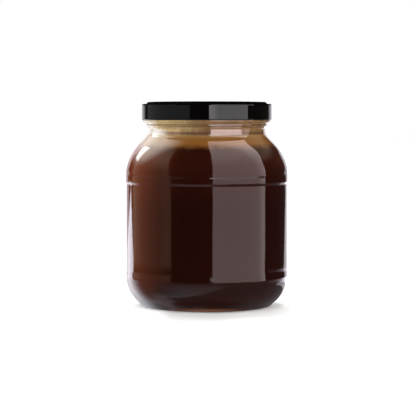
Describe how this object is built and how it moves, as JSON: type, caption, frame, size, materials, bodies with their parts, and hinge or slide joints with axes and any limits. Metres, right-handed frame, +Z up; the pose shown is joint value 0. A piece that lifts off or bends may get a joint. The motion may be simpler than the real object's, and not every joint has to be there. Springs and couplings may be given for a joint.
{
  "type": "honey jar",
  "caption": "Squat clear glass jar full of dark honey with a pale top layer, shut with a black twist-off lid; stores and serves honey.",
  "frame": {"origin": "centre of the standing ring, in the plane that the jar stands on", "axes": "+Z up along the jar's axis; -Y towards the picture's camera and +X to its right"},
  "size_m": [0.0866, 0.0866, 0.1088],
  "materials": {
    "glass": "clear pressed glass, fire-polished",
    "lacquered_lid": "glossy black lacquer on tinplate",
    "honey": "dark brown runny honey",
    "froth": "pale tan froth of fine bubbles in honey"
  },
  "bodies": {
    "root": {"glass_jar": "glass", "lid": "lacquered_lid", "honey": "honey", "froth": "froth"}
  },
  "joints": []
}
